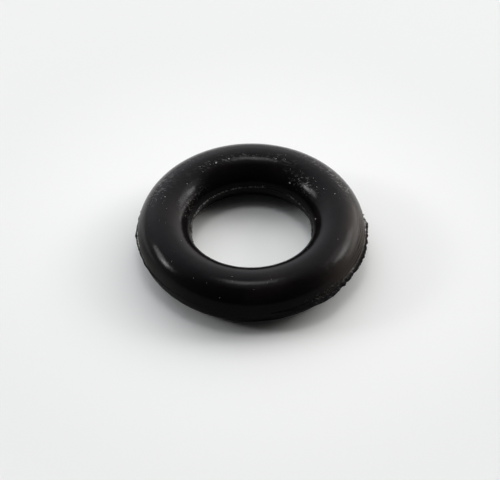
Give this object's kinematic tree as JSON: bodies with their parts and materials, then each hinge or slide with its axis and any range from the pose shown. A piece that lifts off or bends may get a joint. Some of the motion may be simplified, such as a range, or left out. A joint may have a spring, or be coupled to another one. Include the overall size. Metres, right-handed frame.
{
  "type": "o-ring",
  "caption": "Round-section black rubber sealing ring, 7 mm bore by 3 mm section, with torn moulding flash along its parting line.",
  "frame": {"origin": "centre of the ring, on the parting plane half way up its section", "axes": "+Z along the ring's axis; +X is the side with the longest stretch of flash"},
  "size_m": [0.0132, 0.013, 0.003],
  "materials": {
    "rubber": "satin"
  },
  "bodies": {
    "root": {"o_ring": "rubber"}
  },
  "joints": []
}
